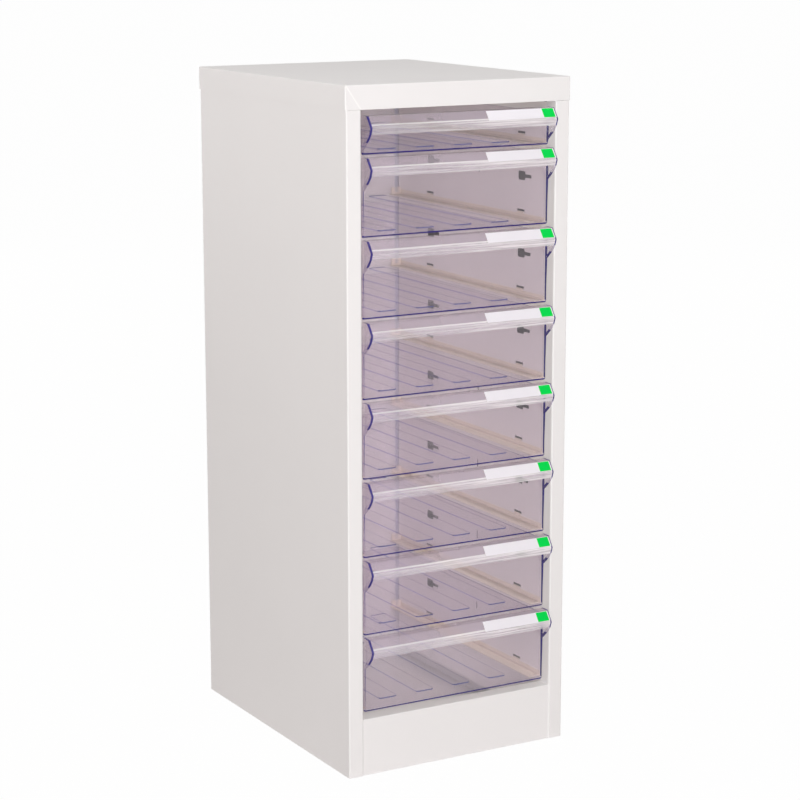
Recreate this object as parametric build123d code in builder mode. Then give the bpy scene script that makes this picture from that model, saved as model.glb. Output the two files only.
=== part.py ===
from build123d import *
import os
from math import cos, radians, sin

# Filing cabinet: a steel case with eight clear plastic drawers, one shallow drawer above seven deep ones.
# Millimetres. X is the width, -Y the front, +Z up. The origin lies on the floor, midway between the
# sides and midway between the foremost point of the drawer hoods and the rear face of the cap.

os.makedirs("parts", exist_ok=True)

# Overall size
cap_width = 274.0
cap_depth = 348.0
hood_reach = 12.0

# Steel sheet
sheet = 1.0
liner_sheet = 0.8
bend_radius = 1.2
cap_edge_radius = 1.6

# Front frame: the two posts, the rail of the cap and the kick panel
post_width = 17.5
post_return = 18.0
cap_skirt = 25.5
cap_lip_depth = 16.0
cap_seam = 0.2
kick_height = 63.0
kick_recess = 1.0
kick_lip_depth = 16.0
rear_flange = 14.0
back_panel_play = 1.0

# Bottom plate
plate_flange = 14.0

# Liners inside the side panels, which carry the rails
liner_front_gap = 3.6
liner_rear_gap = 7.6
liner_bottom = 20.0
liner_top_gap = 2.5
liner_leg = 16.0

# Drawers
shallow_height = 40.5
deep_height = 83.0
deep_drawers = 7
drawer_gap = 2.5
kick_clearance = 6.0
top_clearance = 32.0
side_gap = 4.5
panel_recess = 6.5
tray_rear_gap = 14.0
tray_wall = 2.2
tray_floor = 2.2
wall_drop = 6.0
tray_corner_radius = 5.0
panel_corner_radius = 2.5

# Hood along the top of each drawer front, which is also its grip
hood_wall = 2.0
nose_radius = 2.5
nose_drop = 12.0
slope_tilt = 36.0
lip_tilt = 20.0
lip_length = 6.0
gusset_wall = 2.0
gusset_drop = 34.5
gusset_bulge = 1.2

# Raised strips on the drawer floor
strip_count = 4
strip_pitch = 46.8
strip_width = 22.6
strip_height = 1.2
strip_setback = 22.3
strip_rear_gap = 24.0
strip_radius = 4.0

# Guide fins along the bottom edges of a drawer, and the rails under them
fin_thickness = 2.0
fin_setback = 14.0
fin_play = 0.8
rail_sheet = 0.8
rail_foot = 14.5
rail_upright = 5.0
rail_front_play = 2.0
rail_tail = 4.0
stop_play = 0.3
stop_height = 8.0

# Slots and hooks that hang the rails on the liners, and the keyholes above them
slot_length = 16.0
slot_height = 3.6
slot_rise = 7.7
slot_front = 69.0
slot_spacing = 196.0
hook_length = 13.0
hook_reach = 1.4
hook_rise = 6.2
keyhole_front = 67.5
keyhole_drop = 36.5
keyhole_length = 15.0
keyhole_width = 10.0
keyhole_tail_length = 24.0
keyhole_tail_width = 4.0
keyhole_radius = 2.0
middle_slot_front = 156.0
middle_slot_width = 3.0
middle_slot_height = 9.0

# Label card and sticker on the slope of each hood
label_length = 84.5
label_height = 11.6
label_thickness = 0.3
label_end_gap = 1.6
sticker_length = 14.2
sticker_height = 10.8
sticker_thickness = 0.2
sticker_end_gap = 1.4

# Blind rivets that hold the back panel
rivet_rows = 5
rivet_height = 50.0
rivet_head_radius = 3.2
rivet_head_height = 0.9
rivet_shank_radius = 1.5
rivet_hole_play = 0.1
rivet_tail = 1.6
rivet_tail_radius = 2.2

# Places worked out from the sizes above. The height follows from the stack of drawers.
lowest_drawer = kick_height + kick_clearance
drawer_pitch = deep_height + drawer_gap
shallow_base = lowest_drawer + deep_drawers * drawer_pitch
total_height = shallow_base + shallow_height + top_clearance

cap_front = -(cap_depth + hood_reach) / 2 + hood_reach
cap_rear = cap_front + cap_depth
cap_half = cap_width / 2
body_front = cap_front
body_rear = cap_rear - sheet
body_half = cap_half - sheet
opening_half = body_half - post_width
return_outer = opening_half + sheet
frame_top = total_height - cap_skirt
under_cap = total_height - sheet

side_inner = body_half - sheet
liner_face = return_outer
liner_front = body_front + liner_front_gap
liner_rear = body_rear - liner_rear_gap
liner_height = frame_top - liner_top_gap - liner_bottom

tray_half = opening_half - side_gap
panel_front = cap_front + panel_recess
panel_back = panel_front + tray_wall
tray_rear = body_rear - tray_rear_gap - sheet
tray_depth = tray_rear - panel_front
fin_outer = liner_face - rail_sheet - fin_play
fin_front = panel_back + fin_setback
rail_front = body_front + post_return + rail_front_play
rail_rear = tray_rear + rail_tail

back_outer = body_rear - sheet
back_inner = back_outer - sheet
rivet_spacing = (frame_top - 2 * rivet_height) / (rivet_rows - 1)
rivet_middle = frame_top / 2

# Profile of the hood, as (Y, Z) offsets from the front of the cap and the top of the drawer
nose_centre = (cap_front - hood_reach + nose_radius, -nose_drop)
slope_normal = (-cos(radians(slope_tilt)), sin(radians(slope_tilt)))
slope_rise = (sin(radians(slope_tilt)), cos(radians(slope_tilt)))
lip_normal = (-cos(radians(lip_tilt)), -sin(radians(lip_tilt)))
lip_run = (sin(radians(lip_tilt)), -cos(radians(lip_tilt)))


def along(start, direction, distance):
    return (start[0] + direction[0] * distance, start[1] + direction[1] * distance)


def hood_points(inset):
    """Corners of the hood's profile, drawn this far inside its outer face."""
    radius = nose_radius - inset
    slope_foot = along(nose_centre, slope_normal, radius)
    slope_top = along(slope_foot, slope_rise, (-inset - slope_foot[1]) / slope_rise[1])
    lip_top = along(nose_centre, lip_normal, radius)
    lip_end = along(lip_top, lip_run, lip_length)
    return slope_top, slope_foot, lip_top, lip_end


def drawer_levels():
    """Height of each drawer's underside, and its own height, from the top drawer down."""
    levels = [(shallow_base, shallow_height)]
    for row in reversed(range(deep_drawers)):
        levels.append((lowest_drawer + row * drawer_pitch, deep_height))
    return levels


# Side panels: one folded sheet each, with the front post, its return and a rear flange
for side, side_name in ((-1, "left"), (1, "right")):
    return_mid = side * (opening_half + sheet / 2)
    wall_mid = side * (body_half - sheet / 2)
    front_mid = body_front + sheet / 2
    rear_mid = body_rear - sheet / 2
    with BuildPart() as side_panel:
        with BuildSketch(Plane.XY):
            with BuildLine():
                FilletPolyline(
                    (return_mid, body_front + post_return),
                    (return_mid, front_mid),
                    (wall_mid, front_mid),
                    (wall_mid, rear_mid),
                    (side * (body_half - rear_flange), rear_mid),
                    radius=bend_radius,
                )
            trace(line_width=sheet)
        extrude(amount=under_cap)
        # The face of the post ends below the cap, whose front skirt continues it flush
        with BuildSketch(Plane.XY.offset(frame_top - cap_seam)):
            with Locations((0, body_front)):
                Rectangle(2 * body_half, sheet, align=(Align.CENTER, Align.MIN))
        extrude(amount=cap_skirt, mode=Mode.SUBTRACT)
        with BuildSketch(Plane.XZ.offset(-body_rear)):
            with Locations((side * (body_half - rear_flange / 2), rivet_middle)):
                with GridLocations(0, rivet_spacing, 1, rivet_rows):
                    Circle(rivet_shank_radius + rivet_hole_play)
        extrude(amount=sheet, mode=Mode.SUBTRACT)
    side_panel.part.label = side_name + "_side_panel"
    export_step(side_panel.part, "parts/" + side_name + "_side_panel.step")

# Top cap: a shallow lid over the case, its front skirt folded back under itself above the drawers
with BuildPart() as top_cap:
    with BuildSketch(Plane.XY.offset(frame_top)):
        with Locations((0, (cap_front + cap_rear) / 2)):
            Rectangle(cap_width, cap_depth)
    extrude(amount=cap_skirt)
    fillet(top_cap.edges().filter_by(Axis.Z), cap_edge_radius)
    fillet(top_cap.edges().group_by(Axis.Z)[-1], cap_edge_radius)
    with BuildSketch(Plane.XY.offset(frame_top)):
        with Locations((0, (cap_front + cap_rear) / 2)):
            Rectangle(cap_width - 2 * sheet, cap_depth - 2 * sheet)
    extrude(amount=cap_skirt - sheet, mode=Mode.SUBTRACT)
    with BuildSketch(Plane.XY.offset(frame_top)):
        with Locations((0, cap_front + sheet)):
            Rectangle(2 * opening_half, cap_lip_depth, align=(Align.CENTER, Align.MIN))
    extrude(amount=sheet)
top_cap.part.label = "top_cap"
export_step(top_cap.part, "parts/top_cap.step")

# Back panel: a flat sheet inside the rear flanges
with BuildPart() as back_panel:
    with BuildSketch(Plane.XZ.offset(-back_outer)):
        with Locations((0, (sheet + under_cap) / 2)):
            Rectangle(2 * (side_inner - back_panel_play), under_cap - sheet)
        with Locations((0, rivet_middle)):
            with GridLocations(2 * body_half - rear_flange, rivet_spacing, 2, rivet_rows):
                Circle(rivet_shank_radius + rivet_hole_play, mode=Mode.SUBTRACT)
    extrude(amount=sheet)
back_panel.part.label = "back_panel"
export_step(back_panel.part, "parts/back_panel.step")

# Rivets along both rear flanges, with domed heads outside and upset tails inside
with BuildPart() as back_rivets:
    with BuildSketch(Plane.XZ.offset(-back_inner)):
        with Locations((0, rivet_middle)):
            with GridLocations(2 * body_half - rear_flange, rivet_spacing, 2, rivet_rows):
                Circle(rivet_shank_radius)
    extrude(amount=-2 * sheet)
    with BuildSketch(Plane.XZ.offset(-body_rear)):
        with Locations((0, rivet_middle)):
            with GridLocations(2 * body_half - rear_flange, rivet_spacing, 2, rivet_rows):
                Circle(rivet_head_radius)
    extrude(amount=-rivet_head_height, taper=35)
    with BuildSketch(Plane.XZ.offset(-back_inner)):
        with Locations((0, rivet_middle)):
            with GridLocations(2 * body_half - rear_flange, rivet_spacing, 2, rivet_rows):
                Circle(rivet_tail_radius)
    extrude(amount=rivet_tail)
back_rivets.part.label = "back_rivets"
export_step(back_rivets.part, "parts/back_rivets.step")

# Bottom plate: flat on the floor, with a flange turned up along each side and the rear
plate_front = body_front + post_return
with BuildPart() as bottom_plate:
    with BuildSketch(Plane.XY):
        with Locations((0, plate_front)):
            Rectangle(2 * side_inner, back_inner - plate_front, align=(Align.CENTER, Align.MIN))
    extrude(amount=plate_flange)
    with BuildSketch(Plane.XY.offset(sheet)):
        with Locations((0, plate_front)):
            Rectangle(
                2 * (side_inner - sheet),
                back_inner - sheet - plate_front,
                align=(Align.CENTER, Align.MIN),
            )
    extrude(amount=plate_flange, mode=Mode.SUBTRACT)
bottom_plate.part.label = "bottom_plate"
export_step(bottom_plate.part, "parts/bottom_plate.step")

# Kick panel: closes the front below the lowest drawer, with a lip folded back along its top
# and a return down each side, which is welded inside the return of the post
kick_front = body_front + kick_recess
with BuildPart() as kick_panel:
    with BuildSketch(Plane.XY):
        with Locations((0, kick_front)):
            Rectangle(2 * opening_half, kick_lip_depth, align=(Align.CENTER, Align.MIN))
    extrude(amount=kick_height)
    fillet(kick_panel.edges().filter_by(Axis.X).group_by(Axis.Z)[-1].sort_by(Axis.Y)[0], bend_radius)
    with BuildSketch(Plane.XY):
        with Locations((0, kick_front + sheet)):
            Rectangle(2 * (opening_half - sheet), kick_lip_depth, align=(Align.CENTER, Align.MIN))
    extrude(amount=kick_height - sheet, mode=Mode.SUBTRACT)
kick_panel.part.label = "kick_panel"
export_step(kick_panel.part, "parts/kick_panel.step")

# Liners: a folded sheet inside each side panel, with a slot for every rail hook. Beside each deep
# drawer it also has two keyholes and a small upright slot between them
for side, side_name in ((-1, "left"), (1, "right")):
    face_mid = side * (liner_face + liner_sheet / 2)
    leg_mid = side * (side_inner - liner_sheet / 2)
    with BuildPart() as liner:
        with BuildSketch(Plane.XY.offset(liner_bottom)):
            with BuildLine():
                FilletPolyline(
                    (leg_mid, liner_front + liner_leg),
                    (leg_mid, liner_front),
                    (face_mid, liner_front),
                    (face_mid, liner_rear),
                    (leg_mid, liner_rear),
                    (leg_mid, liner_rear - liner_leg),
                    radius=bend_radius,
                )
            trace(line_width=liner_sheet)
        extrude(amount=liner_height)
        with BuildSketch(Plane.YZ.offset(face_mid)):
            for base, height in drawer_levels():
                with Locations((cap_front + slot_front + slot_spacing / 2, base + slot_rise)):
                    with GridLocations(slot_spacing, 0, 2, 1):
                        Rectangle(slot_length, slot_height)
                if height == deep_height:
                    keyhole_level = base + height - keyhole_drop
                    keyhole_tail = keyhole_front - keyhole_length / 2
                    with Locations((cap_front + keyhole_front + slot_spacing / 2, keyhole_level)):
                        with GridLocations(slot_spacing, 0, 2, 1):
                            RectangleRounded(keyhole_length, keyhole_width, keyhole_radius)
                    with Locations((cap_front + keyhole_tail + slot_spacing / 2, keyhole_level)):
                        with GridLocations(slot_spacing, 0, 2, 1):
                            Rectangle(keyhole_tail_length, keyhole_tail_width)
                    with Locations((cap_front + middle_slot_front, keyhole_level)):
                        Rectangle(middle_slot_width, middle_slot_height)
        extrude(amount=liner_sheet, both=True, mode=Mode.SUBTRACT)
    liner.part.label = side_name + "_liner"
    export_step(liner.part, "parts/" + side_name + "_liner.step")


def make_rail(side, base):
    """Angle under one edge of a drawer: foot, upright, two hooks through the liner and a rear stop."""
    upright_inner = liner_face - rail_sheet
    rail_length = rail_rear - rail_front
    with BuildPart() as rail:
        with BuildSketch(Plane.XZ.offset(-rail_front)):
            with Locations((side * liner_face, base - rail_sheet)):
                inward = (Align.MAX if side > 0 else Align.MIN, Align.MIN)
                Rectangle(rail_foot, rail_sheet, align=inward)
                Rectangle(rail_sheet, rail_sheet + rail_upright, align=inward)
        extrude(amount=-rail_length)
        with BuildSketch(Plane.YZ.offset(side * upright_inner)):
            with Locations((cap_front + slot_front + slot_spacing / 2, base + rail_upright)):
                with GridLocations(slot_spacing, 0, 2, 1):
                    Rectangle(
                        hook_length,
                        hook_rise + rail_sheet - rail_upright,
                        align=(Align.CENTER, Align.MIN),
                    )
        extrude(amount=side * rail_sheet)
        with BuildSketch(Plane.YZ.offset(side * liner_face)):
            with Locations((cap_front + slot_front + slot_spacing / 2, base + hook_rise)):
                with GridLocations(slot_spacing, 0, 2, 1):
                    Rectangle(hook_length, rail_sheet, align=(Align.CENTER, Align.MIN))
        extrude(amount=side * (liner_sheet + hook_reach))
        with BuildSketch(Plane.XY.offset(base)):
            with Locations((side * (liner_face - rail_sheet), tray_rear + stop_play)):
                Rectangle(rail_foot - 2 * rail_sheet, rail_sheet, align=inward)
        extrude(amount=stop_height)
    return rail.part


def make_tray(base, height):
    """One clear drawer: tray, front panel, hood with its end gussets, floor strips and guide fins."""
    top = base + height
    slope_top, slope_foot, lip_top, lip_end = hood_points(0)
    inner_slope_top, inner_slope_foot, inner_lip_top, inner_lip_end = hood_points(hood_wall)
    cut_corner = along(lip_end, lip_normal, hood_wall)
    below = -gusset_drop - hood_wall
    nose_start = 180 - slope_tilt
    nose_sweep = slope_tilt + lip_tilt
    strip_length = tray_depth - 2 * tray_wall - strip_setback - strip_rear_gap
    fin_length = tray_rear - fin_front
    with BuildPart() as tray:
        # Outer block, as high as the side walls, then the taller front panel
        with BuildSketch(Plane.XY.offset(base)) as footprint:
            with Locations((0, panel_front)):
                Rectangle(2 * tray_half, tray_depth, align=(Align.CENTER, Align.MIN))
            fillet(footprint.vertices().group_by(Axis.Y)[-1], tray_corner_radius)
        extrude(amount=height - wall_drop)
        fillet(tray.edges().filter_by(Axis.Y).group_by(Axis.Z)[0], panel_corner_radius)
        with BuildSketch(Plane.XZ.offset(-panel_front)) as front:
            with Locations((0, base)):
                Rectangle(2 * tray_half, height, align=(Align.CENTER, Align.MIN))
            fillet(front.vertices().group_by(Axis.Y)[0], panel_corner_radius)
        extrude(amount=-tray_wall)
        # Hood and gussets: the whole profile across the front, then hollowed between the gussets
        with BuildSketch(Plane(origin=(-tray_half, 0, top), x_dir=(0, 1, 0), z_dir=(1, 0, 0))):
            with BuildLine():
                Polyline((panel_back, 0), slope_top, slope_foot)
                CenterArc(nose_centre, nose_radius, nose_start, nose_sweep)
                Line(lip_top, lip_end)
                SagittaArc(lip_end, (panel_front, -gusset_drop), -gusset_bulge)
                Polyline((panel_front, -gusset_drop), (panel_back, -gusset_drop), (panel_back, 0))
            make_face()
        extrude(amount=2 * tray_half)
        with BuildSketch(Plane(origin=(gusset_wall - tray_half, 0, top), x_dir=(0, 1, 0), z_dir=(1, 0, 0))):
            with BuildLine():
                Polyline((panel_front, -hood_wall), inner_slope_top, inner_slope_foot)
                CenterArc(nose_centre, nose_radius - hood_wall, nose_start, nose_sweep)
                Polyline(inner_lip_top, inner_lip_end, cut_corner, (cut_corner[0], below))
                Polyline((cut_corner[0], below), (panel_front, below), (panel_front, -hood_wall))
            make_face()
        extrude(amount=2 * (tray_half - gusset_wall), mode=Mode.SUBTRACT)
        # Guide fins along the bottom edges
        with BuildSketch(Plane.XY.offset(base)):
            with Locations((0, fin_front)):
                Rectangle(2 * fin_outer, fin_length - tray_corner_radius, align=(Align.CENTER, Align.MIN))
        extrude(amount=fin_thickness)
        # Inside of the tray, and the raised strips on its floor
        with BuildSketch(Plane.XY.offset(base + tray_floor)) as pocket:
            with Locations((0, panel_back)):
                Rectangle(
                    2 * (tray_half - tray_wall),
                    tray_depth - 2 * tray_wall,
                    align=(Align.CENTER, Align.MIN),
                )
            fillet(pocket.vertices().group_by(Axis.Y)[-1], tray_corner_radius - tray_wall)
        extrude(amount=height, mode=Mode.SUBTRACT)
        with BuildSketch(Plane.XY.offset(base + tray_floor)):
            with Locations((0, panel_back + strip_setback + strip_length / 2)):
                with GridLocations(strip_pitch, 0, strip_count, 1):
                    RectangleRounded(strip_width, strip_length, strip_radius)
        extrude(amount=strip_height)
    return tray.part


def make_slip(base, height, lift, right_edge, length, slip_height, thickness):
    """Thin rectangle lying on the slope of the hood, raised off it by lift."""
    slope_top, slope_foot, lip_top, lip_end = hood_points(0)
    slope_length = (slope_top[1] - slope_foot[1]) / slope_rise[1]
    middle = along(slope_top, slope_rise, -slope_length / 2)
    slope_plane = Plane(
        origin=(0, middle[0], base + height + middle[1]),
        x_dir=(1, 0, 0),
        z_dir=(0, slope_normal[0], slope_normal[1]),
    )
    with BuildPart() as slip:
        with BuildSketch(slope_plane.offset(lift)):
            with Locations((right_edge, 0)):
                Rectangle(length, slip_height, align=(Align.MAX, Align.CENTER))
        extrude(amount=thickness)
    return slip.part


# Everything that repeats with the drawers, numbered from the top
label_right = tray_half - label_end_gap
for number, (base, height) in enumerate(drawer_levels(), start=1):
    for side, side_name in ((-1, "left"), (1, "right")):
        rail = make_rail(side, base)
        rail.label = f"{side_name}_rail_{number}"
        export_step(rail, f"parts/{side_name}_rail_{number}.step")

    tray = make_tray(base, height)
    tray.label = f"drawer_tray_{number}"
    export_step(tray, f"parts/drawer_tray_{number}.step")

    label_card = make_slip(base, height, 0, label_right, label_length, label_height, label_thickness)
    label_card.label = f"label_card_{number}"
    export_step(label_card, f"parts/label_card_{number}.step")

    sticker = make_slip(
        base,
        height,
        label_thickness,
        label_right - sticker_end_gap,
        sticker_length,
        sticker_height,
        sticker_thickness,
    )
    sticker.label = f"label_sticker_{number}"
    export_step(sticker, f"parts/label_sticker_{number}.step")
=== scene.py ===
# %% [markdown]
# # A filing cabinet with clear drawers
#
# The real object is a slim steel cabinet for A4 paper. Its case is folded from sheet and powder coated in a
# warm off-white, and its eight drawers are clear polystyrene mouldings, one shallow above seven deep.
# The CAD model already holds every piece at its real size, in metres once it is loaded. This lesson gives
# the pieces their looks: finishes, edges that gather light, a studio and the camera of the photograph.

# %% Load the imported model
from math import cos, pi, radians, sin

import bmesh
import bpy
from mathutils import Matrix, Vector


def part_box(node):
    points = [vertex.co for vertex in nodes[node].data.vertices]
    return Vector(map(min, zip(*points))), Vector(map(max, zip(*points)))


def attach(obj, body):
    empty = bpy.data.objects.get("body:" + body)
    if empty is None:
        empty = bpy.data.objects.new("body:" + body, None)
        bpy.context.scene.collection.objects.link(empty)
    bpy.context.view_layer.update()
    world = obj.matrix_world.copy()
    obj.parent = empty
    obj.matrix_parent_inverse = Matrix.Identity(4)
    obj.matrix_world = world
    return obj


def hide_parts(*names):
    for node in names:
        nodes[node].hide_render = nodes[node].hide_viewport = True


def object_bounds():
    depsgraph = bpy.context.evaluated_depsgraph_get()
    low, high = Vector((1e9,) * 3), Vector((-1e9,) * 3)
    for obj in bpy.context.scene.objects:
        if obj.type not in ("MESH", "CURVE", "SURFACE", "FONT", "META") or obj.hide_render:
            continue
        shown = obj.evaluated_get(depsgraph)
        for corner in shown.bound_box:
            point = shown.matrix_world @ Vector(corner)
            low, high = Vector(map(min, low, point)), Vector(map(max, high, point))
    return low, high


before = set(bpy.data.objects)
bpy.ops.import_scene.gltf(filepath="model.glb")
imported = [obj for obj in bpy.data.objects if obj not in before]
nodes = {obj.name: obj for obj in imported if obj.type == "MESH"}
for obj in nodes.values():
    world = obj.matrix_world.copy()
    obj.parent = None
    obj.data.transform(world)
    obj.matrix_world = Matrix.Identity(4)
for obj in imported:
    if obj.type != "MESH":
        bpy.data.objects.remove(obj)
cad_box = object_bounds()
MM = 0.001

# %% [markdown]
# ## Sizes that the looks share with the construction
#
# Trim and edge bands have to meet the steel and the mouldings exactly. Their places could be typed in again,
# but then a change in the CAD model would leave them behind. Here they are read from the boxes of the CAD
# pieces, and only what a box can't tell, such as a wall thickness, is a named value.

# %% Measure the frame
LABEL_END_GAP = 1.6 * MM
PANEL_RECESS = 6.5 * MM
TRAY_WALL = 2.2 * MM
STRIP_HEIGHT = 1.2 * MM

cap_low, cap_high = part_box("top_cap")
kick_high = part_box("kick_panel")[1]
cap_front = cap_low.y
frame_top = cap_low.z
opening_half = kick_high.x
panel_front = cap_front + PANEL_RECESS
tray_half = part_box("label_card_1")[1].x + LABEL_END_GAP
print("opening, mm:", round(2 * opening_half / MM, 1), "by", round((frame_top - kick_high.z) / MM, 1))

# %% [markdown]
# ## Colours and nodes
#
# Blender mixes light in linear values, while a colour picker gives sRGB hex values. One function turns hex to
# linear. A material is a small graph of nodes, so one more function adds a node, sets its fields, and sets or
# links its inputs. Every finish below is built with these two.

# %% Helpers for materials
def linear(hex_code):
    """An sRGB hex colour, such as "#ffffff", as linear red, green, blue and an alpha of 1."""
    channels = [int(hex_code[i : i + 2], 16) / 255 for i in (1, 3, 5)]
    return [c / 12.92 if c <= 0.04045 else ((c + 0.055) / 1.055) ** 2.4 for c in channels] + [1.0]


def add_node(tree, kind, inputs=None, **fields):
    """Add a node. Its fields come by name, and each input is a value or another node's output."""
    made = tree.nodes.new(kind)
    for name, value in fields.items():
        setattr(made, name, value)
    for name, value in (inputs or {}).items():
        if isinstance(value, bpy.types.NodeSocket):
            tree.links.new(value, made.inputs[name])
        else:
            made.inputs[name].default_value = value
    return made


def new_material(name):
    """An empty node material and its tree."""
    material = bpy.data.materials.new(name)
    material.use_nodes = True
    material.node_tree.nodes.clear()
    return material, material.node_tree


WHITE = linear("#ffffff")
print("white in linear values:", WHITE)

# %% [markdown]
# ## Painted shade in the closed space behind the liners
#
# The closed space between a liner and its side panel lies in shade, which is why the slots and keyholes look
# dark. That shade is painted: the steel there gets a dark colour. Those faces could get a second material,
# but each sheet is one solid whose two sides differ. A mask on the object's coordinates finds them instead:
# it compares each coordinate with the middle and the half width of that space.

# %% Mask for the painted shade of the closed space
CLOSED_SPACE = {
    "X": (128.0 * MM, 7.7 * MM),
    "Y": (-4.0 * MM, 154.0 * MM),
    "Z": (390.0 * MM, 324.0 * MM),
}


def cavity_shade_mask(tree, coordinates):
    """1 where a point lies behind the left or right liner, and 0 elsewhere."""
    axes = add_node(tree, "ShaderNodeSeparateXYZ", {"Vector": coordinates})
    outward = add_node(tree, "ShaderNodeMath", {0: axes.outputs["X"]}, operation="ABSOLUTE")
    ways = {"X": outward.outputs["Value"], "Y": axes.outputs["Y"], "Z": axes.outputs["Z"]}
    share = 1.0
    for axis, (centre, reach) in CLOSED_SPACE.items():
        near = add_node(
            tree,
            "ShaderNodeMath",
            {0: ways[axis], 1: centre, 2: reach},
            operation="COMPARE",
        )
        both = add_node(
            tree,
            "ShaderNodeMath",
            {0: near.outputs["Value"], 1: share},
            operation="MULTIPLY",
        )
        share = both.outputs["Value"]
    return share


print("closed space, mm wide:", round(2 * CLOSED_SPACE["X"][1] / MM, 1))

# %% [markdown]
# ## Powder coat
#
# The case is sprayed with dry polyester powder and baked, which leaves a tough satin film. Up close it has
# orange peel: low bumps one or two millimetres across that soften every reflection. Paint like this could be
# one flat colour, but then the large plain side looks like paper. Two noises do the work: a fine one bumps
# the surface, and a broad one shifts the tone by about one part in a hundred, as a sprayed film varies.

# %% Powder coat
PAINT_IOR = 1.5
PEEL_SIZE = 1.6 * MM
PEEL_DEPTH = 0.012 * MM
DRIFT_SIZE = 140 * MM
# The dark colour of the closed space behind the liners: painted shade.
CAVITY_SHADE = linear("#2e323b")


def powder_coat(name, light_hex, dark_hex, roughness):
    """Satin baked powder film, which gives the eye a soft sheen without a clear reflection. Behind the liners
    it turns dark, as painted shade.
    """
    material, tree = new_material(name)
    place = add_node(tree, "ShaderNodeTexCoord")
    drift = add_node(
        tree,
        "ShaderNodeTexNoise",
        {"Vector": place.outputs["Object"], "Scale": 1 / DRIFT_SIZE, "Detail": 3.0},
    )
    tone = add_node(
        tree,
        "ShaderNodeMix",
        {"Factor": drift.outputs["Fac"], "A": linear(dark_hex), "B": linear(light_hex)},
        data_type="RGBA",
    )
    # Behind the liners the colour turns dark: painted shade of the closed space.
    coat = add_node(
        tree,
        "ShaderNodeMix",
        {
            "Factor": cavity_shade_mask(tree, place.outputs["Object"]),
            "A": tone.outputs["Result"],
            "B": CAVITY_SHADE,
        },
        data_type="RGBA",
    )
    peel = add_node(
        tree,
        "ShaderNodeTexNoise",
        {"Vector": place.outputs["Object"], "Scale": 1 / PEEL_SIZE, "Detail": 1.0},
    )
    bump = add_node(
        tree,
        "ShaderNodeBump",
        {"Height": peel.outputs["Fac"], "Distance": PEEL_DEPTH, "Strength": 1.0},
    )
    paint = add_node(
        tree,
        "ShaderNodeBsdfPrincipled",
        {
            "Base Color": coat.outputs["Result"],
            "Roughness": roughness,
            "IOR": PAINT_IOR,
            "Normal": bump.outputs["Normal"],
        },
    )
    add_node(tree, "ShaderNodeOutputMaterial", {"Surface": paint.outputs["BSDF"]})
    return material


case_coat = powder_coat("powder_coat_off_white", "#ecebec", "#e9e8e9", roughness=0.5)
rail_coat = powder_coat("powder_coat_cream", "#f3eadc", "#efe4d4", roughness=0.45)
# The liners get a lighter copy of the coat: painted light, which brightens the inside of the case.
liner_coat_painted_light = powder_coat("powder_coat_liner_painted_light", "#f6f3f4", "#f3f0f1", roughness=0.45)
# A lighter coat for the mitre bead: a painted highlight along the bright line.
bead_coat_painted_highlight = powder_coat("powder_coat_painted_highlight", "#f4f4f4", "#f2f2f2", roughness=0.45)
print("coats:", case_coat.name, liner_coat_painted_light.name, rail_coat.name, bead_coat_painted_highlight.name)

# %% [markdown]
# ## How clear polystyrene reflects
#
# The drawers are injection moulded from general purpose polystyrene, which is glass clear. Its surface
# mirrors a little when seen square on and much more at a slant. Fresnel with the plastic's IOR of 1.59 gives
# that share. Inside a wall the light goes from plastic to air, so the IOR is turned over on the back of each
# face. A soft wide noise gives the slight waviness of a moulded wall.

# %% Reflection of a moulded wall
PLASTIC_IOR = 1.59
WAVE_SIZE = 18 * MM
WAVE_DEPTH = 0.05 * MM


def wall_reflection(tree, place, side, gloss, roughness):
    """How much of the light a wall mirrors, times gloss, and the mirror itself."""
    wave = add_node(
        tree,
        "ShaderNodeTexNoise",
        {"Vector": place.outputs["Object"], "Scale": 1 / WAVE_SIZE, "Detail": 1.0},
    )
    bump = add_node(
        tree,
        "ShaderNodeBump",
        {"Height": wave.outputs["Fac"], "Distance": WAVE_DEPTH, "Strength": 1.0},
    )
    ior = add_node(
        tree,
        "ShaderNodeMapRange",
        {"Value": side.outputs["Backfacing"], "To Min": PLASTIC_IOR, "To Max": 1 / PLASTIC_IOR},
    )
    mirror_share = add_node(
        tree,
        "ShaderNodeFresnel",
        {"IOR": ior.outputs["Result"], "Normal": bump.outputs["Normal"]},
    )
    reflected = add_node(
        tree,
        "ShaderNodeMath",
        {0: mirror_share.outputs["Fac"], 1: gloss},
        operation="MULTIPLY",
    )
    mirror = add_node(
        tree,
        "ShaderNodeBsdfAnisotropic",
        {"Roughness": roughness, "Normal": bump.outputs["Normal"]},
    )
    return reflected.outputs["Value"], mirror.outputs["BSDF"]


print("IOR of the plastic:", PLASTIC_IOR)

# %% [markdown]
# ## Flow lines, haze and a painted highlight
#
# The nose of each hood and the lip below it carry a white haze, with long fine lines where the melt flowed
# along the mould. That white is a painted highlight, standing in for the white floor that they reflect, and
# it thins out to the left, where the highlight is weaker; the grey haze of the hood thins the same way. A
# picture of those lines could be laid on the hood, but a noise that is stretched along X draws them at a real
# width, and a ramp along X thins them.

# %% How much of a wall is haze and painted highlight
FLOW_LENGTH = 70 * MM
FLOW_WIDTH = 1.1 * MM
# Ends of the ramp along X that fades the haze and its painted highlight to the left.
HIGHLIGHT_FADE_ENDS = (-114 * MM, 60 * MM)
NOISE_SPAN = (0.35, 0.65)


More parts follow.
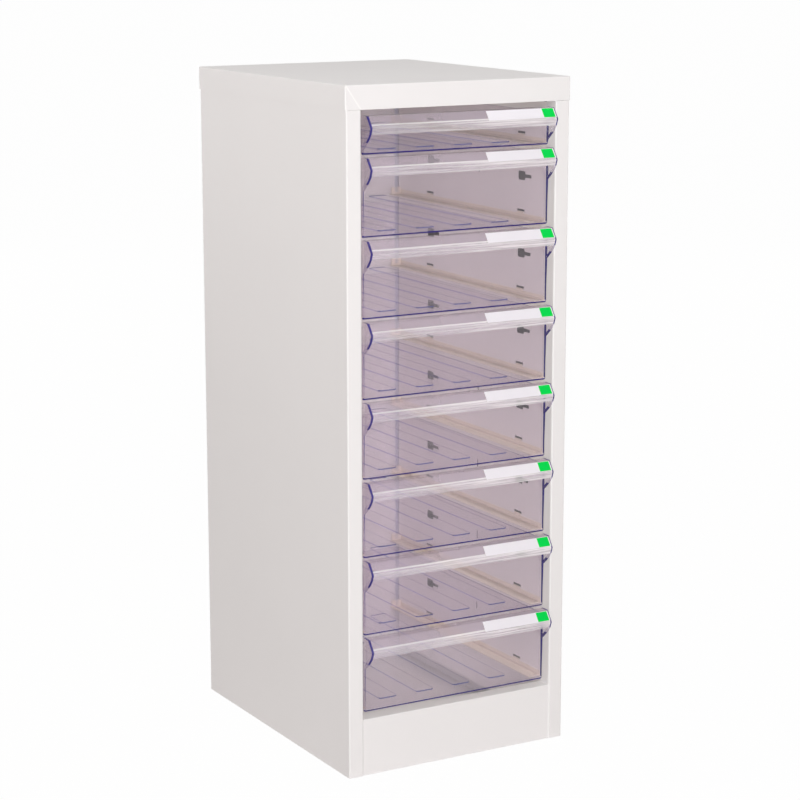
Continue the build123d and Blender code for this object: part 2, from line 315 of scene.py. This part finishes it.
def haze_and_highlight_share(tree, place, side, haze_and_highlight_shares, streaks, highlight_fade):
    """The opaque share of a wall, haze and painted highlight together. The pair of shares given is that share
    seen from outside and from inside the wall.
    """
    outside_share, inside_share = haze_and_highlight_shares
    flow = add_node(
        tree,
        "ShaderNodeMapping",
        {
            "Vector": place.outputs["Object"],
            "Scale": (1 / FLOW_LENGTH, 1 / FLOW_WIDTH, 1 / FLOW_WIDTH),
        },
    )
    line = add_node(
        tree,
        "ShaderNodeTexNoise",
        {"Vector": flow.outputs["Vector"], "Scale": 1.0, "Detail": 2.0},
    )
    level = add_node(
        tree,
        "ShaderNodeMapRange",
        {
            "Value": line.outputs["Fac"],
            "From Min": NOISE_SPAN[0],
            "From Max": NOISE_SPAN[1],
            "To Min": 1 - streaks,
            "To Max": 1 + streaks,
        },
    )
    axes = add_node(tree, "ShaderNodeSeparateXYZ", {"Vector": place.outputs["Object"]})
    # This ramp fades the haze and its painted highlight to the left.
    highlight_fade_ramp = add_node(
        tree,
        "ShaderNodeMapRange",
        {
            "Value": axes.outputs["X"],
            "From Min": HIGHLIGHT_FADE_ENDS[0],
            "From Max": HIGHLIGHT_FADE_ENDS[1],
            "To Min": 1 - highlight_fade,
            "To Max": 1.0,
        },
    )
    amount = add_node(
        tree,
        "ShaderNodeMath",
        {0: level.outputs["Result"], 1: highlight_fade_ramp.outputs["Result"]},
        operation="MULTIPLY",
    )
    plain_share = add_node(
        tree,
        "ShaderNodeMapRange",
        {"Value": side.outputs["Backfacing"], "To Min": outside_share, "To Max": inside_share},
    )
    haze_and_highlight = add_node(
        tree,
        "ShaderNodeMath",
        {0: plain_share.outputs["Result"], 1: amount.outputs["Value"]},
        operation="MULTIPLY",
        use_clamp=True,
    )
    return haze_and_highlight.outputs["Value"]


print("flow lines, mm:", round(FLOW_LENGTH / MM), "by", round(FLOW_WIDTH / MM, 1))

# %% [markdown]
# ## Clear polystyrene
#
# The plastic has a faint violet grey cast. True glass shading would bend light through every wall, which is
# slow and noisy for eight nested boxes. The walls are thin and parallel, so a straight view through them
# looks the same. A transparent shader carries the tint, a diffuse one the haze, the glow of the edges and
# the painted highlight, and a glossy one the reflections. Light on its way to the steel behind passes freely,
# as it does through thin clear walls.

# %% Clear polystyrene
def clear_plastic(name, tint_hex, haze_and_highlight_hex, haze_and_highlight_shares, roughness, gloss=1.0, streaks=0.0, highlight_fade=0.0):
    """Moulded clear plastic. The tint colours what is seen through it, and gloss is the strength of its
    reflection. Streaks says how far the haze and its painted highlight vary in long lines, and the fade how
    much of them is lost to the left, where the highlight is weaker."""
    material, tree = new_material(name)
    place = add_node(tree, "ShaderNodeTexCoord")
    side = add_node(tree, "ShaderNodeNewGeometry")
    reflected, mirror = wall_reflection(tree, place, side, gloss, roughness)
    haze_and_highlight = haze_and_highlight_share(tree, place, side, haze_and_highlight_shares, streaks, highlight_fade)
    through = add_node(tree, "ShaderNodeBsdfTransparent", {"Color": linear(tint_hex)})
    body = add_node(tree, "ShaderNodeBsdfDiffuse", {"Color": linear(haze_and_highlight_hex)})
    through_and_body = add_node(
        tree,
        "ShaderNodeMixShader",
        {0: haze_and_highlight, 1: through.outputs["BSDF"], 2: body.outputs["BSDF"]},
    )
    surface = add_node(
        tree,
        "ShaderNodeMixShader",
        {0: reflected, 1: through_and_body.outputs["Shader"], 2: mirror},
    )
    path = add_node(tree, "ShaderNodeLightPath")
    lit_through = add_node(
        tree,
        "ShaderNodeMath",
        {0: path.outputs["Is Shadow Ray"], 1: path.outputs["Is Diffuse Ray"]},
        operation="MAXIMUM",
    )
    open_way = add_node(tree, "ShaderNodeBsdfTransparent")
    finish = add_node(
        tree,
        "ShaderNodeMixShader",
        {0: lit_through.outputs["Value"], 1: surface.outputs["Shader"], 2: open_way.outputs["BSDF"]},
    )
    add_node(tree, "ShaderNodeOutputMaterial", {"Surface": finish.outputs["Shader"]})
    return material


print("materials before the plastics:", len(bpy.data.materials))

# %% [markdown]
# ## The plastic of each place on a drawer
#
# Along edges and corners the eye looks a long way through the plastic, and light piped inside the walls comes
# out there. That gives polystyrene its deep blue violet outline. Blender could only find that by tracing
# every bend of the light, so each such place gets a finish of its own, matched one by one. A row gives the
# tint, the colour of the haze, its share from outside and inside the wall, the roughness, and what else
# differs.

# %% Thirteen finishes of one plastic
PLASTIC_ROWS = {
    "wall": ("#fbf8fb", "#d6ccd8", (0.015, 0.015), 0.09, {}),
    "floor": ("#fbf8fb", "#d6ccd8", (0.015, 0.015), 0.09, {"gloss": 0.4}),
    "hood": ("#fbf8fb", "#c2bac4", (0.45, 0.08), 0.09, {"gloss": 0.3, "highlight_fade": 0.3}),
    "edge": ("#a298c4", "#2f2a7c", (0.84, 0.84), 0.2, {"gloss": 0.3, "streaks": 0.3}),
    "corner": ("#f6f2f8", "#2f2a7c", (0.05, 0.94), 0.2, {"gloss": 0.3}),
    "faint_edge": ("#efebf4", "#8c86b8", (0.10, 0.10), 0.2, {"gloss": 0.3}),
    "rim": ("#d8d4ee", "#8f8ac4", (0.30, 0.10), 0.2, {"gloss": 0.3}),
    "rear_corner": ("#f1f0f8", "#8b8fc8", (0.07, 0.07), 0.15, {}),
    "rib_side": ("#d2d0f4", "#7f78cc", (0.18, 0.03), 0.2, {"gloss": 0.3}),
    "rib_far_side": ("#f1f0fa", "#8f88d8", (0.04, 0.02), 0.2, {"gloss": 0.3}),
    "rib_end": ("#a8a8dc", "#3a428c", (0.80, 0.30), 0.2, {"gloss": 0.3}),
    # The white haze of the lip and nose is a painted highlight, standing in for the white floor that they
    # reflect.
    "lip_painted_highlight": ("#f8f5fa", "#fffdff", (0.46, 0.05), 0.12, {"streaks": 0.55, "highlight_fade": 0.6}),
    "nose_painted_highlight": ("#f8f5fa", "#ffffff", (0.70, 0.10), 0.12, {"streaks": 0.2, "highlight_fade": 0.35}),
}
PLASTICS = {
    kind: clear_plastic(f"polystyrene_{kind}", tint, haze_and_highlight, haze_and_highlight_shares, roughness, **rest)
    for kind, (tint, haze_and_highlight, haze_and_highlight_shares, roughness, rest) in PLASTIC_ROWS.items()
}
KINDS = list(PLASTICS)
print("plastics:", ", ".join(KINDS))

# %% [markdown]
# ## Card, sticker and rivets
#
# The label is plain white card, which is matt with a soft fibre. The sticker is bright green film under a
# thin gloss. The blind rivets are bare aluminium, turned bright by the setting tool. They could share the
# powder coat's graph, but each is small, so one shader and one fine noise is enough for it.

# %% Card, film and aluminium
FIBRE_SIZE = 0.9 * MM
FIBRE_DEPTH = 0.01 * MM
FILM_IOR = 1.5


def plain_finish(name, colour_hex, roughness, gloss=0.5, metallic=0.0):
    """A plain solid finish with a fine grain in its bump."""
    material, tree = new_material(name)
    place = add_node(tree, "ShaderNodeTexCoord")
    grain = add_node(
        tree,
        "ShaderNodeTexNoise",
        {"Vector": place.outputs["Object"], "Scale": 1 / FIBRE_SIZE, "Detail": 2.0},
    )
    bump = add_node(
        tree,
        "ShaderNodeBump",
        {"Height": grain.outputs["Fac"], "Distance": FIBRE_DEPTH, "Strength": 1.0},
    )
    solid = add_node(
        tree,
        "ShaderNodeBsdfPrincipled",
        {
            "Base Color": linear(colour_hex),
            "Roughness": roughness,
            "IOR": FILM_IOR,
            "Specular IOR Level": gloss,
            "Metallic": metallic,
            "Normal": bump.outputs["Normal"],
        },
    )
    add_node(tree, "ShaderNodeOutputMaterial", {"Surface": solid.outputs["BSDF"]})
    return material


label_card = plain_finish("label_card_white", "#eceaf1", roughness=0.55)
green_film = plain_finish("sticker_film_green", "#00d850", roughness=0.45, gloss=0.1)
bare_aluminium = plain_finish("rivet_aluminium", "#d0d1d3", roughness=0.35, metallic=1.0)
print("small finishes:", label_card.name, green_film.name, bare_aluminium.name)

# %% [markdown]
# ## Finishes on the CAD pieces
#
# The steel pieces, rails, cards, stickers and rivets already have their right shapes. They could be modelled
# again, but that would only risk a difference. They stay as they are, and each gets its finish in its
# material slots. A word in the piece's name says which, and what has no such word is part of the case.

# %% Give the CAD pieces their finishes
FINISHES = {
    "rail": rail_coat,
    "liner": liner_coat_painted_light,
    "label_card": label_card,
    "label_sticker": green_film,
    "rivets": bare_aluminium,
}
for name, piece in nodes.items():
    finish = next((f for word, f in FINISHES.items() if word in name), case_coat)
    for slot in piece.material_slots:
        slot.material = finish
print("steel pieces coated:", sum(p.material_slots[0].material == case_coat for p in nodes.values()))

# %% [markdown]
# ## From a bmesh to a piece
#
# A bmesh is a mesh on the workbench: operators shape it, and then it is written to a mesh that an object
# shows. Every new piece goes the same way, so the way is written once. The object stays at the origin and
# its place is in its mesh, as with the CAD pieces, so that patterns on object coordinates fit both.

# %% Helper for new pieces
def made_object(shape, name, finishes):
    """Write a bmesh to a new object in the scene, with these materials in its slots."""
    mesh = bpy.data.meshes.new(name)
    shape.to_mesh(mesh)
    shape.free()
    for finish in finishes:
        mesh.materials.append(finish)
    piece = bpy.data.objects.new(name, mesh)
    bpy.context.scene.collection.objects.link(piece)
    print(name, "faces:", len(mesh.polygons))
    return piece


# %% [markdown]
# ## Drawer mouldings: bevels and cuts
#
# Each drawer is one moulding: tray, front panel, hood with end gussets, floor strips and guide fins. Its
# shape is right in the CAD model, but a moulding has no sharp corners, and its edges need their own finish.
# A finish could follow a mask, as on the steel, but here the outline of the front and of the hood's ends is
# bevelled, and the new faces are what glows blue violet. Plane cuts divide the large faces where the finish
# changes.

# %% Bevel and cut
NEAR = 0.02 * MM
SHARP = radians(30)
UP = Vector((0, 0, 1))
BACK = Vector((0, 1, 0))
RIGHT = Vector((1, 0, 0))


def at(value, target):
    """Whether a length is the same as another, but for rounding."""
    return abs(value - target) < NEAR


def bevel_band(shape, edges, size, kind):
    """Round these edges and give the new faces this kind of plastic."""
    made = bmesh.ops.bevel(
        shape,
        geom=edges,
        offset=size,
        offset_type="OFFSET",
        affect="EDGES",
        segments=2,
        profile=0.5,
        material=-1,
        clamp_overlap=False,
    )
    for face in made["faces"]:
        face.material_index = KINDS.index(kind)
    return len(made["faces"])


def cut_faces(shape, faces, place, way):
    """Divide these faces where a plane crosses them."""
    edges = {edge for face in faces for edge in face.edges}
    verts = {vert for face in faces for vert in face.verts}
    geom = list(faces) + list(edges) + list(verts)
    bmesh.ops.bisect_plane(shape, geom=geom, plane_co=place, plane_no=way)


print("edges sharper than", round(SHARP * 180 / pi), "degrees stay crisp")

# %% [markdown]
# ## The hood's profile
#
# Seen from the side, a hood is a slope, a round nose and a lip that falls back, and its end gusset runs from
# the lip's end down to the panel. The dark rim of a gusset follows those three lines. The profile could be
# traced from the mesh, but three planes from the hood's own angles and radius say the same and are exact.

# %% Planes of the hood
HOOD_REACH = -cad_box[0].y + cap_front
NOSE_DROP = 12.0 * MM
NOSE_RADIUS = 2.5 * MM
SLOPE_TILT = radians(36)
LIP_TILT = radians(20)
LIP_FORWARD = 9.8 * MM
LIP_DROP = 18.5 * MM
GUSSET_DROP = 34.5 * MM


def hood_planes(top):
    """The planes of the slope, of the lip and of the gusset's lower edge: a point and the way out."""
    nose_centre = Vector((0, cap_front - HOOD_REACH + NOSE_RADIUS, top - NOSE_DROP))
    slope_out = Vector((0, -cos(SLOPE_TILT), sin(SLOPE_TILT)))
    lip_out = Vector((0, -cos(LIP_TILT), -sin(LIP_TILT)))
    lip_end = Vector((0, cap_front - LIP_FORWARD, top - LIP_DROP))
    lower_run = (Vector((0, panel_front, top - GUSSET_DROP)) - lip_end).normalized()
    return [
        (nose_centre + NOSE_RADIUS * slope_out, slope_out),
        (nose_centre + NOSE_RADIUS * lip_out, lip_out),
        (lip_end, Vector((0, lower_run.z, -lower_run.y))),
    ]


print("the hood reaches forward, mm:", round(HOOD_REACH / MM, 1))

# %% [markdown]
# ## Which plastic a face shows
#
# A glow depends on where a face lies: the outline of the front is dark, the top of a wall is pale, and the
# low walls of the floor strips show only as lines. Faces could be picked by hand, but eight drawers have
# thousands. One function looks at a face's place and direction and names its kind, from the front back.

# %% Kind of each face
# Widths of the bands from the outline inwards, and heights below the top or above the foot.
FRONT_BEVEL = 1.6 * MM
END_BEVEL = 1.0 * MM
RIM = 3.0 * MM
END_STRIP = 2.0 * MM
FOOT_STRIP = 2.1 * MM
BRIGHT_LINE = (7.9 * MM, 9.3 * MM)
CORNER_DEPTH = 4.4 * MM
CORNER_RADIUS = 2.5 * MM
REAR_DEPTH = 4.0 * MM
# Where the dark edge of a hood's end fades, on the left and on the right: from and to, below the top.
RIM_FADE = {-1: (27.0 * MM, 40.0 * MM), 1: (18.5 * MM, 26.3 * MM)}
# A face points along an axis where its normal's share of that axis is high, and across it where it is low.
ALONG, HALFWAY, LEANING, ACROSS = 0.9, 0.5, 0.2, 0.1


def kind_of(face, low, high):
    """The kind of plastic that a face of a drawer shows, from its place and direction."""
    kind = KINDS[face.material_index]
    centre = face.calc_center_median()
    below_top = high.z - centre.z
    outward = abs(centre.x)
    sideways = abs(face.normal.x)
    behind_front = centre.y - panel_front
    fade_start, fade_end = RIM_FADE[1 if centre.x > 0 else -1]
    if behind_front < -NEAR and at(outward, tray_half):
        rim = any((place - centre).dot(out) < RIM for place, out in hood_planes(high.z))
        kind = "corner" if rim else "wall"
    elif behind_front < -NEAR and outward > tray_half - END_STRIP and sideways < HALFWAY:
        kind = "edge"
    if behind_front < -NEAR and kind in ("edge", "corner"):
        return "faint_edge" if fade_start < below_top < fade_end else kind
    if behind_front < -TRAY_WALL and outward < tray_half - END_STRIP:
        if below_top > BRIGHT_LINE[1]:
            return "lip_painted_highlight"
        return "nose_painted_highlight" if below_top > BRIGHT_LINE[0] else "hood"
    if at(behind_front, 0) and centre.z < low.z + FOOT_STRIP:
        return "edge"
    if outward > tray_half - FRONT_BEVEL and sideways > LEANING:
        above_foot = centre.z > low.z + CORNER_RADIUS
        if -NEAR < behind_front < CORNER_DEPTH and above_foot and below_top > NOSE_DROP:
            return "corner"
    above_floor = centre.z > low.z + TRAY_WALL
    if outward > tray_half - 2 * TRAY_WALL and centre.y > high.y - REAR_DEPTH and above_floor:
        return "rear_corner"
    if abs(face.normal.z) > ALONG and centre.z < low.z + 2 * TRAY_WALL:
        return "floor"
    if face.normal.z > ALONG and behind_front > TRAY_WALL:
        return "rim"
    strip_middle = low.z + TRAY_WALL + STRIP_HEIGHT / 2
    if abs(face.normal.z) < ACROSS and abs(centre.z - strip_middle) < STRIP_HEIGHT / 4:
        if sideways > ALONG:
            return "rib_side" if face.normal.x < 0 else "rib_far_side"
        return "rib_end"
    return kind


print("kinds of plastic on a drawer:", len(KINDS))

# %% [markdown]
# ## Which edges are rounded
#
# The mould rounds the outline of a drawer's front and of the flat ends of its hood. Those edges could be
# picked by their numbers, but the numbers change with the model. They are found by where they lie and by
# the angle between their faces, and the faces at the ends are found by their middles.

# %% Outline of a moulding
FOOT_REACH = 3 * MM
FLAT = radians(1)


def outline_edges(shape, low):
    """The sharp edges round the panel's front: its foot and its two uprights."""
    outline = [
        edge
        for edge in shape.edges
        if all(at(v.co.y, panel_front) for v in edge.verts) and edge.calc_face_angle(0) > SHARP
    ]
    upright = [e for e in outline if all(at(abs(v.co.x), tray_half) for v in e.verts)]
    foot = [
        e for e in outline if all(v.co.z < low.z + FOOT_REACH for v in e.verts) and e not in upright
    ]
    return foot + upright


def end_edges(shape):
    """The sharp edges round the two flat ends of the hood."""
    return [
        edge
        for edge in shape.edges
        if all(at(abs(v.co.x), tray_half) and v.co.y < panel_front - NEAR for v in edge.verts)
        and abs(edge.verts[0].co.x - edge.verts[1].co.x) < NEAR
        and edge.calc_face_angle(0) > SHARP
    ]


def faces_at_ends(shape, reach):
    """The faces in front of the panel whose middle is within reach of the hood's ends."""
    middles = {face: face.calc_center_median() for face in shape.faces}
    return [f for f, c in middles.items() if abs(abs(c.x) - tray_half) < reach and c.y < panel_front]


print("a foot edge lies within, mm:", round(FOOT_REACH / MM))

# %% [markdown]
# ## Drawer mouldings: the eight pieces
#
# A copy of the CAD mesh has its loose triangles merged and its flat faces joined, so that a bevel runs on
# cleanly. The bevels come first, then the cuts, and last every face gets its kind of plastic. Editing a copy
# keeps the CAD piece as it is: it is hidden and goes on to serve for contact, and the copy stands for it.

# %% Make the eight mouldings
DRAWER_COUNT = 8


def drawer_moulding(number):
    """One clear drawer in place of its CAD tray."""
    source = nodes[f"drawer_tray_{number}"]
    low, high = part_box(source.name)
    shape = bmesh.new()
    shape.from_mesh(source.data)
    bmesh.ops.remove_doubles(shape, verts=shape.verts, dist=NEAR / 4)
    bmesh.ops.dissolve_limit(shape, angle_limit=FLAT, verts=shape.verts, edges=shape.edges)
    for face in shape.faces:
        face.material_index = KINDS.index("wall")
    bands = bevel_band(shape, outline_edges(shape, low), FRONT_BEVEL, "edge")
    bands += bevel_band(shape, end_edges(shape), END_BEVEL, "edge")
    cuts = [
        (panel_front, BACK),
        (panel_front + CORNER_DEPTH, BACK),
        (high.y - REAR_DEPTH, BACK),
        (high.z - NOSE_DROP - NOSE_RADIUS, UP),
        (high.z - BRIGHT_LINE[0], UP),
        (high.z - BRIGHT_LINE[1], UP),
        (low.z + FOOT_STRIP, UP),
        (tray_half - END_STRIP, RIGHT),
        (END_STRIP - tray_half, RIGHT),
    ]
    for distance, way in cuts:
        cut_faces(shape, shape.faces[:], distance * way, way)
    for place, out in hood_planes(high.z):
        cut_faces(shape, faces_at_ends(shape, NEAR), place - RIM * out, out)
    for drop in (drop for fade in RIM_FADE.values() for drop in fade):
        cut_faces(shape, faces_at_ends(shape, END_STRIP), (high.z - drop) * UP, UP)
    for face in shape.faces:
        face.material_index = KINDS.index(kind_of(face, low, high))
        face.smooth = True
    for edge in shape.edges:
        edge.smooth = edge.calc_face_angle(0) < SHARP
    piece = made_object(shape, f"drawer_moulding_{number}", PLASTICS.values())
    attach(piece, f"drawer_{number}")
    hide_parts(source.name)
    return bands


for number in range(1, DRAWER_COUNT + 1):
    print("faces in its bevels:", drawer_moulding(number))

# %% [markdown]
# ## The mitre line of the cap
#
# On the left of the cap a thin bright line runs from the outer top corner to the corner of the opening, where
# the sheet was folded, welded and ground. It could be drawn in the paint, but it stands proud by a hair and
# catches the light, so it is a low bead: a stretched cube with rounded edges, turned along the line. Its coat
# is lighter than the case's: a painted highlight along the line.

# %% Mitre bead
BEAD_WIDTH = 1.6 * MM
BEAD_HEIGHT = 0.2 * MM
BEAD_ROUNDING = 0.9
CORNER_INSET = 1.5 * MM


def finished(shape, name, body, finish):
    """Turn the bmesh of a piece of trim into a piece that rides on a body."""
    bmesh.ops.recalc_face_normals(shape, faces=shape.faces)
    piece = made_object(shape, name, [finish])
    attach(piece, body)


outer_corner = Vector((cap_low.x + CORNER_INSET, cap_front, cap_high.z - CORNER_INSET))
inner_corner = Vector((-opening_half, cap_front, frame_top))
run = inner_corner - outer_corner
bead = bmesh.new()
bmesh.ops.create_cube(bead, size=1.0)
bmesh.ops.scale(bead, vec=(run.length, 2 * BEAD_HEIGHT, BEAD_WIDTH), verts=bead.verts)
bmesh.ops.bevel(
    bead,
    geom=bead.edges,
    offset=BEAD_HEIGHT * BEAD_ROUNDING,
    affect="EDGES",
    segments=2,
    profile=0.5,
    material=-1,
)
bmesh.ops.rotate(
    bead,
    cent=(0, 0, 0),
    matrix=RIGHT.rotation_difference(run).to_matrix(),
    verts=bead.verts,
)
bmesh.ops.translate(bead, vec=(outer_corner + inner_corner) / 2, verts=bead.verts)
# The bead's lighter coat is a painted highlight.
finished(bead, "cap_mitre_bead", "cabinet", bead_coat_painted_highlight)

# %% [markdown]
# ## The rounded corner of the opening
#
# In the right corner of the opening a small web of steel fills the angle behind the cap, with a hollow round
# edge. Cutting that round from a plate would take a second shape, so the arc is spun from one point, closed
# with the corner into a flat face, and the face is extruded backwards to a plate.

# %% Corner web
WEB_RADIUS = 3.0 * MM
WEB_DEPTH = 1.0 * MM
WEB_STEPS = 8

web = bmesh.new()
corner = web.verts.new((opening_half, cap_front, frame_top))
start = web.verts.new((opening_half - WEB_RADIUS, cap_front, frame_top))
bmesh.ops.spin(
    web,
    geom=[start],
    cent=(opening_half - WEB_RADIUS, cap_front, frame_top - WEB_RADIUS),
    axis=BACK,
    dvec=(0, 0, 0),
    angle=radians(90),
    steps=WEB_STEPS,
    use_duplicate=False,
)
arc = sorted((v for v in web.verts if v is not corner), key=lambda v: v.co.x)
plate = web.faces.new([corner] + arc)
grown = bmesh.ops.extrude_face_region(web, geom=[plate])
moved = [v for v in grown["geom"] if isinstance(v, bmesh.types.BMVert)]
bmesh.ops.translate(web, vec=WEB_DEPTH * BACK, verts=moved)
finished(web, "opening_corner_web", "cabinet", case_coat)

# %% [markdown]
# ## Studio floor
#
# The photograph was taken against white. More light would make the floor white too, but it would also bleach
# the cabinet. The floor is a plain pale sheet that keeps the cabinet's shadow, and Light Path lifts its
# colour for the camera. Glossy and transmission rays see the same white, so that the plastic reflects it.

# %% Floor
FLOOR_HALF = 40.0
FLOOR_LIFT = 0.985


def white_share(tree):
    """1 for camera, glossy and transmission rays, and 0 for the light that the floor or world gives."""
    path = add_node(tree, "ShaderNodeLightPath")
    seen = add_node(
        tree,
        "ShaderNodeMath",
        {0: path.outputs["Is Camera Ray"], 1: path.outputs["Is Glossy Ray"]},
        operation="MAXIMUM",
    )
    return add_node(
        tree,
        "ShaderNodeMath",
        {0: seen.outputs["Value"], 1: path.outputs["Is Transmission Ray"]},
        operation="MAXIMUM",
    ).outputs["Value"]


floor_finish, floor_tree = new_material("studio_paper")
lifted = add_node(
    floor_tree,
    "ShaderNodeMath",
    {0: white_share(floor_tree), 1: FLOOR_LIFT},
    operation="MULTIPLY",
)
paper = add_node(floor_tree, "ShaderNodeBsdfDiffuse", {"Color": linear("#dcd6d2")})
glow = add_node(floor_tree, "ShaderNodeEmission", {"Color": WHITE, "Strength": 1.0})
sheet_shader = add_node(
    floor_tree,
    "ShaderNodeMixShader",
    {0: lifted.outputs["Value"], 1: paper.outputs["BSDF"], 2: glow.outputs["Emission"]},
)
add_node(floor_tree, "ShaderNodeOutputMaterial", {"Surface": sheet_shader.outputs["Shader"]})

floor_shape = bmesh.new()
bmesh.ops.create_grid(floor_shape, x_segments=1, y_segments=1, size=FLOOR_HALF)
floor = made_object(floor_shape, "studio_floor", [floor_finish])
print("floor, m:", 2 * FLOOR_HALF)

# %% [markdown]
# ## World
#
# A white room gives soft light from everywhere. If the world were as bright as it looks, the cabinet would
# have no shading left. So the camera sees white, and the light that the world gives is set apart, warm and
# weak.

# %% World
AMBIENT = 0.28
world = bpy.data.worlds.new("studio_world")
bpy.context.scene.world = world
world.use_nodes = True
world_tree = world.node_tree
world_tree.nodes.clear()
ambient = add_node(
    world_tree,
    "ShaderNodeBackground",
    {"Color": linear("#fff6f0"), "Strength": AMBIENT},
)
white = add_node(world_tree, "ShaderNodeBackground", {"Color": WHITE, "Strength": 1.0})
backdrop = add_node(
    world_tree,
    "ShaderNodeMixShader",
    {0: white_share(world_tree), 1: ambient.outputs["Background"], 2: white.outputs["Background"]},
)
add_node(world_tree, "ShaderNodeOutputWorld", {"Surface": backdrop.outputs["Shader"]})
print("ambient light:", AMBIENT)

# %% [markdown]
# ## Lamps
#
# The light is soft and even, and strongest from the front left, where the camera stands. Spot lights would
# draw hard shadows through the clear drawers, so each lamp is a large square softbox. A low key lights the
# inside of the drawers, a high front lamp the hoods, a small one the upper left side, one the top, and two
# stand behind for the views from the back and right. A level of 1 would light a white card to white.

# %% Lamps
UPPER_SIDE_HEIGHT = 0.65
middle = (cad_box[0] + cad_box[1]) / 2
upper_side = Vector((cad_box[0].x, 0.0, UPPER_SIDE_HEIGHT))


def softbox(name, azimuth, elevation, distance, size, level, colour_hex, aim):
    """A square lamp that looks at aim. Azimuth 0 is the front, and 90 its right. At level 1 a white card
    at aim that faces the lamp renders white, which takes a power of pi times the distance, squared."""
    lamp = bpy.data.lights.new(name, "AREA")
    lamp.shape = "SQUARE"
    lamp.size = size
    lamp.energy = level * (pi * distance) ** 2
    lamp.color = linear(colour_hex)[:3]
    turn, rise = radians(azimuth), radians(elevation)
    away = Vector((sin(turn) * cos(rise), -cos(turn) * cos(rise), sin(rise)))
    holder = bpy.data.objects.new(name, lamp)
    holder.location = aim + distance * away
    holder.rotation_euler = away.to_track_quat("Z", "Y").to_euler()
    bpy.context.scene.collection.objects.link(holder)


# Each row: azimuth and elevation in degrees, distance and size in metres, level, colour and aim.
LAMPS = {
    "key_softbox": (-31, 6, 4.0, 2.2, 0.52, "#fcfdff", middle),
    "front_softbox": (-18, 36, 3.0, 1.6, 0.32, "#fffdfb", middle),
    "side_softbox": (-88, 24, 0.9, 0.5, 0.15, "#fffaf4", upper_side),
    "top_softbox": (20, 80, 2.2, 1.2, 0.09, "#fffdfb", middle),
    "back_softbox": (112, 6, 4.0, 2.2, 0.35, "#ffffff", middle),
    "rear_softbox": (185, 6, 4.0, 2.2, 0.35, "#ffffff", middle),
}
for name, row in LAMPS.items():
    softbox(name, *row)
print("lamps:", len(bpy.data.lights))

# %% [markdown]
# ## Camera
#
# The photograph's perspective was solved from the corners of the case. The camera stands in front of the
# cabinet and to its left, a little above its top, and looks down by twelve degrees. It could be placed by
# eye, but a solved place and focal length make every edge fall where the photograph has it.

# %% Camera
CAMERA_PLACE = Vector((-1274.9, -2262.9, 908.7)) * MM
CAMERA_TURN = 29.839
CAMERA_TILT = 11.691
CAMERA_ROLL = -0.043
FOCAL_PIXELS = 2345.9
PICTURE_PIXELS = 800
SENSOR = 36.0
CLIP_END = 50

camera_data = bpy.data.cameras.new("photo_camera")
camera_data.sensor_width = SENSOR
camera_data.lens = SENSOR * FOCAL_PIXELS / PICTURE_PIXELS
camera_data.clip_end = CLIP_END
camera = bpy.data.objects.new("photo_camera", camera_data)
camera.matrix_world = (
    Matrix.Translation(CAMERA_PLACE)
    @ Matrix.Rotation(radians(-CAMERA_TURN), 4, "Z")
    @ Matrix.Rotation(radians(90 - CAMERA_TILT), 4, "X")
    @ Matrix.Rotation(radians(CAMERA_ROLL), 4, "Z")
)
bpy.context.scene.collection.objects.link(camera)
bpy.context.scene.camera = camera
print("lens, mm:", round(camera_data.lens, 2))

# %% [markdown]
# ## Light through many walls
#
# A straight look through the drawers can cross dozens of faces of clear plastic, and light has to bounce
# often to fill the inside. Blender stops much earlier unless it is told, and then walls turn black.
# The colours are shown as they are written, with the Standard view.

# %% View and light paths
CLEAR_FACES = 48
DIFFUSE_BOUNCES = 8

bpy.context.scene.view_settings.view_transform = "Standard"
bpy.context.scene.cycles.transparent_max_bounces = CLEAR_FACES
bpy.context.scene.cycles.diffuse_bounces = DIFFUSE_BOUNCES
print("clear faces that a ray may cross:", CLEAR_FACES)
